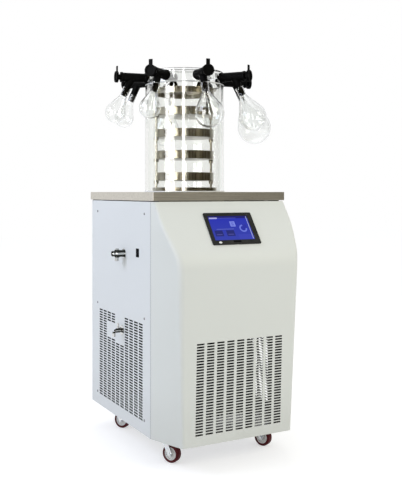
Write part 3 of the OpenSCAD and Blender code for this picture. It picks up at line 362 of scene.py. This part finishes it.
# The two whites differ as painted light: the cabinet's cooler white and the cover's warmer white add to the
# cool lamp at the side and the warm lamp on the front.
cabinet_paint = powder_coat("cabinet_paint", (0.750, 0.776, 0.778), gloss=0.34, seam_shade=1.0)
cover_paint = powder_coat("cover_paint", (0.752, 0.777, 0.743), gloss=0.38)
print("two coats of paint")

# %% [markdown]
# ## Brushed steel
# Brushed steel is a mirror scratched in one direction. Noise that is stretched far longer than it is wide
# gives the scratches, which change the roughness and tilt the surface a little. The worktop is brushed
# from left to right, and the trap from bottom to top.

# %% Brushed steel
def brushed_steel(name, colour, stretch, rough, dark=0.82):
    """Metal that is brushed along the axis with the smallest stretch."""
    finish = Finish(name)
    grain = finish.noise(finish.point(stretch), 1.0, 3.0, 0.6)
    streak = finish.noise(finish.point(scaled(stretch, 0.12)), 1.0, 2.0)
    return finish.surface({
        "Base Color": finish.mix(streak, colour, scaled(colour, dark)),
        "Metallic": 1.0,
        "Roughness": rough + grain * 0.16,
        "Normal": finish.bump(grain, 0.00003, 0.4),
    })


worktop_steel = brushed_steel("worktop_steel", (0.755, 0.72, 0.645), stretch=(52.0, 2200.0, 2200.0),
                              rough=0.22, dark=0.48)
stainless = brushed_steel("stainless", (0.46, 0.44, 0.40), stretch=(600.0, 600.0, 8.0),
                          rough=0.22, dark=0.55)
aluminium = brushed_steel("aluminium", (0.30, 0.30, 0.31), stretch=(40.0, 900.0, 900.0), rough=0.44)
print("brushed steels ready")

# %% [markdown]
# ## Tray steel
# The trays are rolled from bright sheet. The room that their walls would throw back is painted into their
# colour as upright dark and pale streaks, a painted reflection. The angle round the chamber's axis drives a
# noise with no height in it, so each streak runs straight down the wall.

# %% Tray steel
def tray_finish():
    finish = Finish("tray_steel")
    flat = finish.point(stretch=(1.0, 1.0, 0.0))
    bearing = finish.node("ShaderNodeVectorMath", {"operation": "NORMALIZE"}, {0: flat}).out(0)
    reflection_streaks = finish.noise(bearing, 2.6, 2.0)
    fine = finish.noise(bearing, 14.0, 3.0)
    # Painted reflection: dark and pale streaks of the room in the steel's colour.
    tone = finish.ramp(reflection_streaks * 0.75 + fine * 0.25, [
        (0.34, (0.10, 0.09, 0.06)), (0.45, (0.26, 0.23, 0.17)), (0.52, (0.46, 0.44, 0.38)),
        (0.60, (0.22, 0.20, 0.15)), (0.72, (0.50, 0.49, 0.45)),
    ])
    return finish.surface({
        "Base Color": tone,
        "Metallic": 1.0,
        "Roughness": 0.22 + fine * 0.14,
        "Normal": finish.bump(fine, 0.0002, 0.2),
    })


tray_steel = tray_finish()
print("tray steel ready")

# %% [markdown]
# ## Plated metals
# Chrome is a clean mirror with a faint smear, and hot zinc grows pale crystals, which are the cells of a
# Voronoi texture mixed in by a small share. Copper and dark screws follow the same recipe.

# %% Chrome and zinc
def plated(name, colour, rough, spangle=0.0):
    """Smooth metal. Spangle is the share of the zinc's crystals in its colour."""
    finish = Finish(name)
    place = finish.point()
    smear = finish.noise(place, 55.0, 3.0)
    if spangle:
        cells = finish.node("ShaderNodeTexVoronoi", {"feature": "F1"}, {"Vector": place, "Scale": 240.0})
        tone = finish.mix(spangle, colour, cells.out("Color"))
    else:
        tone = finish.mix(smear, colour, scaled(colour, 0.9))
    return finish.surface({
        "Base Color": tone,
        "Metallic": 1.0,
        "Roughness": rough + smear * 0.10,
        "Normal": finish.bump(smear, 0.0001, 0.15),
    })


chrome = plated("chrome", (0.72, 0.72, 0.73), rough=0.06)
zinc = plated("zinc", (0.58, 0.59, 0.61), rough=0.30, spangle=0.06)
copper = plated("copper", (0.72, 0.36, 0.21), rough=0.22)
screw_steel = plated("screw_steel", (0.20, 0.20, 0.21), rough=0.42)
print("plated metals ready")

# %% [markdown]
# A chromed fitting that points sideways shows the room as a dark band above its middle and another below.
# A real room would do that by reflection. The studio is plain, so the bands are painted reflections in the
# finish: they lie where the height above or below the fitting's middle is between two limits, with soft
# edges.

# %% Turned chrome
painted_reflection_dark = (0.030, 0.032, 0.028)
band_edge = 900.0


def turned_chrome(name, middle, low, high):
    finish = Finish(name)
    place = finish.point()
    lift = abs(finish.axes(place)[2] - middle)
    # Painted reflection: dark bands above and below the fitting's middle.
    reflection_band = ((lift - low) * band_edge).clamp() * ((high - lift) * band_edge).clamp()
    smear = finish.noise(place, 55.0, 3.0)
    return finish.surface({
        "Base Color": finish.mix(reflection_band, (0.60, 0.60, 0.59), painted_reflection_dark),
        "Metallic": 1.0,
        "Roughness": 0.10 + smear * 0.10,
        "Normal": finish.bump(smear, 0.0001, 0.15),
    })


mount_height = {mount["name"]: mount["pos_m"][2] for mount in frame["record"]["mounts"]}
port_chrome = turned_chrome("port_chrome", mount_height["vacuum_nozzle"], low=0.0028, high=0.0145)
drain_plate_rise = 0.018
drain_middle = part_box("drain_valve")[1][2] - drain_plate_rise
drain_chrome = turned_chrome("drain_chrome", drain_middle, low=0.001, high=0.009)
print("port at", round(mount_height["vacuum_nozzle"], 4), "drain at", round(drain_middle, 4))

# %% [markdown]
# ## Rubber, plastic and foam
# Moulded rubber is nearly black, but it is never one black: a pale bloom settles on it and the gloss
# changes where hands turn it. The same recipe, with other colours and grain, serves the plastics, the
# satin paint and the felt.

# %% Moulded finishes
bloom_start = 0.35


def moulded(name, colour, bloom, amount, rough, grain_size, depth, shine=0.5):
    """A matt finish with clouds of bloom, and grain that is depth metres deep."""
    finish = Finish(name)
    place = finish.point()
    cloud = finish.noise(place, 30.0, 4.0)
    grain = finish.noise(place, grain_size, 2.0)
    return finish.surface({
        "Base Color": finish.mix((cloud - bloom_start).clamp() * amount, colour, bloom),
        "Roughness": rough + cloud * 0.16,
        "Specular IOR Level": shine,
        "Normal": finish.bump(grain, depth, 0.4),
    })


black_rubber = moulded("black_rubber", (0.002, 0.002, 0.002), (0.012, 0.012, 0.012),
                       amount=0.8, rough=0.46, grain_size=500.0, depth=0.00008, shine=0.035)
silicone = moulded("silicone", (0.80, 0.81, 0.80), (0.62, 0.62, 0.58),
                   amount=0.8, rough=0.38, grain_size=300.0, depth=0.00005)
black_plastic = moulded("black_plastic", (0.020, 0.021, 0.020), (0.050, 0.050, 0.046),
                        amount=1.2, rough=0.46, grain_size=900.0, depth=0.00010, shine=0.10)
black_paint = moulded("black_paint", (0.008, 0.008, 0.009), (0.03, 0.03, 0.03),
                      amount=1.0, rough=0.40, grain_size=260.0, depth=0.00008, shine=0.2)
dull_black = moulded("dull_black", (0.004, 0.004, 0.005), (0.012, 0.012, 0.013),
                     amount=0.8, rough=0.55, grain_size=500.0, depth=0.00006, shine=0.02)
hub_plastic = moulded("hub_plastic", (0.76, 0.76, 0.74), (0.48, 0.46, 0.42),
                      amount=0.8, rough=0.30, grain_size=300.0, depth=0.00005)
red_polyurethane = moulded("red_polyurethane", (0.070, 0.002, 0.005), (0.12, 0.014, 0.018),
                           amount=0.9, rough=0.40, grain_size=260.0, depth=0.00008, shine=0.12)
foam = moulded("foam", (0.66, 0.56, 0.34), (0.50, 0.40, 0.22),
               amount=1.6, rough=0.75, grain_size=240.0, depth=0.00090, shine=0.2)
# The nearly black felt is for the mat behind the rear slots, which is painted shade.
shade_felt = moulded("painted_shade_felt", (0.010, 0.010, 0.011), (0.030, 0.030, 0.030),
               amount=1.0, rough=0.80, grain_size=420.0, depth=0.00040, shine=0.05)
print("moulded finishes ready")

# %% [markdown]
# ## Glass and acrylic
# Clear pieces show themselves by their edges. Where the eye looks along the wall, light passes through
# more of it and comes out grey. Layer Weight finds those places, and a steep power keeps the middle clear.

# %% Clear finishes
def clear_wall(name, middle, edge, steep, ior):
    """A clear wall that is middle where it faces the eye and edge where it is seen along its length."""
    finish = Finish(name)
    facing = finish.node("ShaderNodeLayerWeight", {}, {"Blend": 0.5}).out("Facing")
    smudge = finish.noise(finish.point(), 24.0, 4.0)
    return finish.surface({
        "Base Color": finish.mix((facing ** steep).clamp(), middle, edge),
        "Roughness": (smudge - 0.5).clamp() * 0.05,
        "Transmission Weight": 1.0,
        "IOR": ior,
    })


acrylic = clear_wall("acrylic", (0.965, 0.972, 0.955), (0.60, 0.63, 0.60), steep=3.0, ior=1.49)
clear_cap = clear_wall("clear_cap", (0.975, 0.98, 0.97), (0.78, 0.80, 0.78), steep=4.0, ior=1.49)
glass = clear_wall("glass", (0.978, 0.985, 0.98), (0.54, 0.57, 0.57), steep=3.6, ior=1.47)
print("clear finishes ready")

# %% [markdown]
# ## The touch screen's picture
# The display glows, so its picture feeds the emission. The piece gets a map of its own, from 0 to 1 across
# the window, and every shape in the picture is a product of four comparisons or a distance from a point.
# The picture is a generic one, of bars, tiles and a ring without a word.

# %% Display finish
deep_blue, lower_blue, upper_blue = (0.028, 0.036, 0.36), (0.040, 0.056, 0.40), (0.024, 0.034, 0.42)
ink_blue, tile_blue, ring_blue = (0.04, 0.05, 0.45), (0.22, 0.27, 0.80), (0.15, 0.19, 0.70)


def display_finish():
    finish = Finish("display")
    u, v, _ = finish.axes(finish.node("ShaderNodeUVMap", {"uv_map": "window"}, {}).out(0))

    def patch(u0, v0, u1, v1):
        return (u > u0) * (u < u1) * (v > v0) * (v < v1)

    def disc(cu, cv, r):
        du, dv = (u - cu) * 1.6, v - cv
        return (du * du + dv * dv) < r * r

    def block(picture, u0, v0, u1, v1, colour, share=1.0):
        return finish.mix(patch(u0, v0, u1, v1) * share, picture, colour)

    picture = finish.mix(v, lower_blue, upper_blue)
    # The title bar and its two lines.
    picture = block(picture, 0.0, 0.90, 1.0, 1.0, (0.016, 0.016, 0.16))
    picture = block(picture, 0.02, 0.885, 0.22, 0.945, (0.50, 0.50, 0.86), 0.8)
    picture = block(picture, 0.22, 0.905, 0.70, 0.925, (0.10, 0.12, 0.55), 0.7)
    # A tile with two lines.
    picture = block(picture, 0.50, 0.55, 0.63, 0.77, tile_blue, 0.9)
    picture = block(picture, 0.53, 0.60, 0.60, 0.64, ink_blue, 0.7)
    picture = block(picture, 0.53, 0.68, 0.60, 0.72, ink_blue, 0.7)
    # A ring with a gap at its upper right.
    picture = finish.mix(disc(0.80, 0.47, 0.155), picture, ring_blue)
    picture = finish.mix(disc(0.80, 0.47, 0.095), picture, deep_blue)
    picture = block(picture, 0.80, 0.47, 0.90, 0.63, deep_blue)
    # A rule, two buttons, a field and the bright right edge.
    picture = block(picture, 0.12, 0.44, 0.56, 0.46, (0.16, 0.19, 0.55), 0.8)
    for left in (0.05, 0.34):
        picture = block(picture, left, 0.16, left + 0.20, 0.40, (0.020, 0.024, 0.13), 0.85)
        picture = block(picture, left + 0.03, 0.21, left + 0.17, 0.25, (0.09, 0.09, 0.36), 0.7)
    picture = block(picture, 0.62, 0.02, 0.97, 0.22, (0.050, 0.062, 0.46), 0.7)
    picture = block(picture, 0.962, 0.03, 0.975, 0.97, (0.55, 0.60, 0.80), 0.9)
    return finish.surface({
        "Base Color": (0.004, 0.004, 0.01),
        "Roughness": 0.10,
        "Specular IOR Level": 0.12,
        "Emission Color": picture,
        "Emission Strength": 1.0,
    })


display = display_finish()
print("display drawn")

# %% [markdown]
# ## Skins
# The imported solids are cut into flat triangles, which is right for a folded panel and wrong for a blown
# flask. A skin is a copy of the solid with its doubled points merged, its shallow edges shaded as one
# curve and its sharp edges rounded by a hair, since no real edge is a knife edge. The solid itself stays
# untouched underneath, and the skin stands for it.

# %% Skin helper
body_of = {name: body for body, names in frame["record"]["behaviour"]["bodies"].items() for name in names}
doubled_distance = 1e-6
flat_angle = math.radians(0.2)
edge_steps = 2


def show(name, shape, material, body):
    """Turns a bmesh into a piece that rides on a body."""
    mesh = bpy.data.meshes.new(name)
    shape.to_mesh(mesh)
    shape.free()
    mesh.materials.append(material)
    piece = bpy.data.objects.new(name, mesh)
    scene.collection.objects.link(piece)
    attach(piece, body)
    return piece


def soften(piece, sharp=32.0, edge=0.0):
    """Smooth shading up to an angle in degrees, with rounded sharp edges where edge is a width."""
    mesh = piece.data
    if "custom_normal" in mesh.attributes:
        mesh.attributes.remove(mesh.attributes["custom_normal"])
    mesh.shade_smooth()
    mesh.set_sharp_from_angle(angle=math.radians(sharp))
    if edge:
        bevel = piece.modifiers.new("edges", "BEVEL")
        bevel.width, bevel.segments, bevel.limit_method = edge, edge_steps, "ANGLE"
        bevel.angle_limit = math.radians(sharp)
    weigh = piece.modifiers.new("normals", "WEIGHTED_NORMAL")
    weigh.keep_sharp = True


def skin(name, material, sharp=32.0, edge=0.0):
    """A merged, softened copy of a solid, which stands for it."""
    shape = bmesh.new()
    shape.from_mesh(nodes[name].data)
    bmesh.ops.remove_doubles(shape, verts=shape.verts, dist=doubled_distance)
    bmesh.ops.dissolve_limit(shape, angle_limit=flat_angle, verts=shape.verts, edges=shape.edges)
    for face in shape.faces:
        face.material_index = 0
    piece = show(name + "_skin", shape, material, body_of[name])
    soften(piece, sharp, edge)
    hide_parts(name)


def dress(material, *names):
    """A solid whose shape is right keeps it and only gets the finish."""
    for name in names:
        for place in nodes[name].material_slots:
            place.material = material


# %% [markdown]
# ## Cabinet
# The slotted panels are flat, so their solids stay and only take the paint. The front cover is curved, and
# its skin is shaded smooth, with its large flat faces weighted so that they stay flat. The folded worktop,
# the bezel and the fittings get a hair of rounding on their edges.

# %% Cabinet pieces
dress(cabinet_paint, "left_side_panel", "right_side_panel", "rear_panel")
dress(zinc, "base_pan", "control_box", "castor_plates")
# The frame and condenser are painted black; this black is also painted shade, for the dark inside of the
# cabinet behind the slots.
dress(black_paint, "frame", "condenser")
skin("front_cover", cover_paint, sharp=30.0)
skin("worktop", worktop_steel, sharp=30.0, edge=0.0007)
skin("panel_screws", screw_steel, sharp=50.0)
skin("screen_bezel", black_plastic, sharp=30.0, edge=0.0009)
for name in ("switch_housing", "switch_rocker", "power_inlet"):
    skin(name, dull_black, sharp=30.0, edge=0.0004)
for name in ("vacuum_port", "port_clamp"):
    skin(name, port_chrome, sharp=30.0, edge=0.0003)
for name in ("drain_valve", "drain_lever"):
    skin(name, drain_chrome, sharp=30.0, edge=0.0003)
skin("clamp_wing_nut", chrome, sharp=30.0, edge=0.0003)
print("cabinet dressed")

# %% [markdown]
# ## Dark felt mat
# Behind the rear slots hangs a pleated mat of nearly black felt. It is painted shade: a dark sheet put there
# so that the slots look dark, and it shuts off the daylight that would otherwise shine through. A flat grid
# is folded by moving every second column of its points inwards, and then the sheet gets its thickness.

# %% Painted shade mat behind the rear slots
mat_width, mat_height, mat_foot = 0.320, 0.200, 0.165
mat_columns, mat_rows = 64, 8
mat_fold, mat_wall = 0.007, 0.001
panel_low = Vector(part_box("rear_panel")[0])
mat_place = Vector((0.0, panel_low.y - 2.0 * mat_wall, panel_low.z + mat_foot + mat_height / 2))
mat_shape = bmesh.new()
bmesh.ops.create_grid(mat_shape, x_segments=mat_columns, y_segments=mat_rows, size=0.5)
bmesh.ops.scale(mat_shape, vec=(mat_width, mat_height, 1.0), verts=mat_shape.verts)
bmesh.ops.rotate(mat_shape, matrix=Matrix.Rotation(math.radians(90.0), 3, "X"), verts=mat_shape.verts)
folded = [v for v in mat_shape.verts if round((v.co.x / mat_width + 0.5) * mat_columns) % 2]
bmesh.ops.translate(mat_shape, vec=(0.0, -mat_fold, 0.0), verts=folded)
bmesh.ops.solidify(mat_shape, geom=mat_shape.faces[:], thickness=mat_wall)
bmesh.ops.recalc_face_normals(mat_shape, faces=mat_shape.faces)
bmesh.ops.translate(mat_shape, vec=mat_place, verts=mat_shape.verts)
mat = show("shade_mat", mat_shape, shade_felt, body_of["rear_panel"])
soften(mat, sharp=30.0)
print("filter mat faces", len(mat.data.polygons))

# %% [markdown]
# ## Refrigeration
# The cold trap is a brushed steel pot with the coil round it, packed in foam. The compressor and the fan's
# shroud are painted black, and the blades are bare aluminium. Their solids have the right forms already, so
# a skin is enough.

# %% Refrigeration
skin("cold_trap", stainless)
skin("inner_hoses", black_rubber)
skin("evaporator_coil", copper, sharp=60.0)
skin("trap_insulation", foam)
skin("compressor", black_paint)
skin("fan_shroud", black_paint)
skin("fan_blades", aluminium)
print("inner pieces dressed")

# %% [markdown]
# ## Chamber, rack and manifold
# The acrylic tube stands between two silicone seals, with the trays on their rack inside and the valves on
# the cap above. The moulded valves and knobs need rounder edges than folded metal, so their rounding is
# about a millimetre wide. A flask has no sharp edge to round.

# %% Chamber, rack and manifold
skin("chamber_seals", silicone)
skin("chamber_tube", acrylic)
skin("manifold_cap", clear_cap)
skin("tray_rack", tray_steel)
for k in range(1, 5):
    skin(f"tray_{k}", tray_steel)
skin("valve_bodies", black_rubber, edge=0.0008)
for k in range(1, 9):
    skin(f"valve_knob_{k}", black_rubber, edge=0.0010)
for name in ("small_flasks", "medium_flasks", "large_flasks"):
    skin(name, glass)
print("chamber dressed")

# %% [markdown]
# ## Castors
# Each castor has a fork of pressed zinced sheet, a pale plastic hub and a red tyre. Fork, hub and tyre are
# skinned apart, because the fork swivels and the wheel turns in it.

# %% Castors
for k in range(1, 5):
    skin(f"castor_fork_{k}", zinc, edge=0.0005)
    skin(f"castor_hub_{k}", hub_plastic)
    skin(f"castor_tyre_{k}", red_polyurethane)
print("castors dressed")

# %% [markdown]
# ## Display window
# The picture needs a map that follows the window. A thin plate is made flat, its points are mapped from
# their own width and height, and only then is it tilted onto the slope, where it stands for the glass.

# %% Display piece
glass_points = [vertex.co for vertex in nodes["display_glass"].data.vertices]
outward = max(nodes["display_glass"].data.polygons, key=lambda face: face.area).normal.copy()
if outward.z < 0:
    outward.negate()
across = Vector((1.0, 0.0, 0.0))
upward = outward.cross(across)


def reach(points, direction):
    """Lowest and highest value of the points along a direction."""
    values = [point.dot(direction) for point in points]
    return min(values), max(values)


window = [reach(glass_points, direction) for direction in (across, upward, outward)]
on_slope = Matrix((across, upward, outward)).transposed().to_4x4()


def plate_on_slope(low, high):
    """A bmesh box between two corners that are given across, up and out of the slope."""
    shape = bmesh.new()
    bmesh.ops.create_cube(shape, size=1.0)
    middle = Vector([(a + b) / 2 for a, b in zip(low, high)])
    size = Vector([b - a for a, b in zip(low, high)])
    layer = shape.loops.layers.uv.new("window")
    for face in shape.faces:
        for loop in face.loops:
            loop[layer].uv = (loop.vert.co.x + 0.5, loop.vert.co.y + 0.5)
    bmesh.ops.scale(shape, vec=size, verts=shape.verts)
    bmesh.ops.translate(shape, vec=middle, verts=shape.verts)
    bmesh.ops.transform(shape, matrix=on_slope, verts=shape.verts)
    return shape


panel = show("display_panel", plate_on_slope([a for a, b in window], [b for a, b in window]),
             display, body_of["display_glass"])
soften(panel, sharp=30.0, edge=0.0003)
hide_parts("display_glass")
print("window", [round(b - a, 4) for a, b in window])

# %% [markdown]
# ## Bezel details
# The bezel carries a dark slot in the middle of its lower edge and a small pale lamp at its lower left. The
# solid has neither, so both are laid on it: the slot is a dull black plate that stands a tenth of a
# millimetre proud, its black painted shade in place of a recess, and the lamp is a ball that is pressed flat
# and half sunk.

# %% Bezel details
bezel_points = [vertex.co for vertex in nodes["screen_bezel"].data.vertices]
bezel = [reach(bezel_points, direction) for direction in (across, upward, outward)]
bezel_left, bezel_foot, bezel_face = bezel[0][0], bezel[1][0], bezel[2][1]
strip = window[1][0] - bezel_foot
slot_left, slot_right, slot_sunk, slot_proud = -0.014, 0.016, 0.001, 0.0001
slot_low_share, slot_high_share = 0.38, 0.80
slot_foot, slot_top = bezel_foot + slot_low_share * strip, bezel_foot + slot_high_share * strip
slot_shape = plate_on_slope((slot_left, slot_foot, bezel_face - slot_sunk),
                            (slot_right, slot_top, bezel_face + slot_proud))
# The plate's dull black is painted shade in place of the slot's recess.
slot_piece = show("bezel_slot", slot_shape, dull_black, body_of["screen_bezel"])
soften(slot_piece, sharp=30.0)

lamp_radius, lamp_squash = 0.0042, (1.5, 1.0, 0.25)
lamp_inset, lamp_rise = 0.029, 0.0075
lamp_place = (bezel_left + lamp_inset, bezel_foot + lamp_rise, bezel_face)
lamp_shape = bmesh.new()
bmesh.ops.create_uvsphere(lamp_shape, u_segments=20, v_segments=10, radius=lamp_radius)
bmesh.ops.scale(lamp_shape, vec=lamp_squash, verts=lamp_shape.verts)
bmesh.ops.translate(lamp_shape, vec=lamp_place, verts=lamp_shape.verts)
bmesh.ops.transform(lamp_shape, matrix=on_slope, verts=lamp_shape.verts)
lamp_piece = show("bezel_lamp", lamp_shape, silicone, body_of["screen_bezel"])
soften(lamp_piece, sharp=60.0)
print("strip under the window", round(strip, 4))
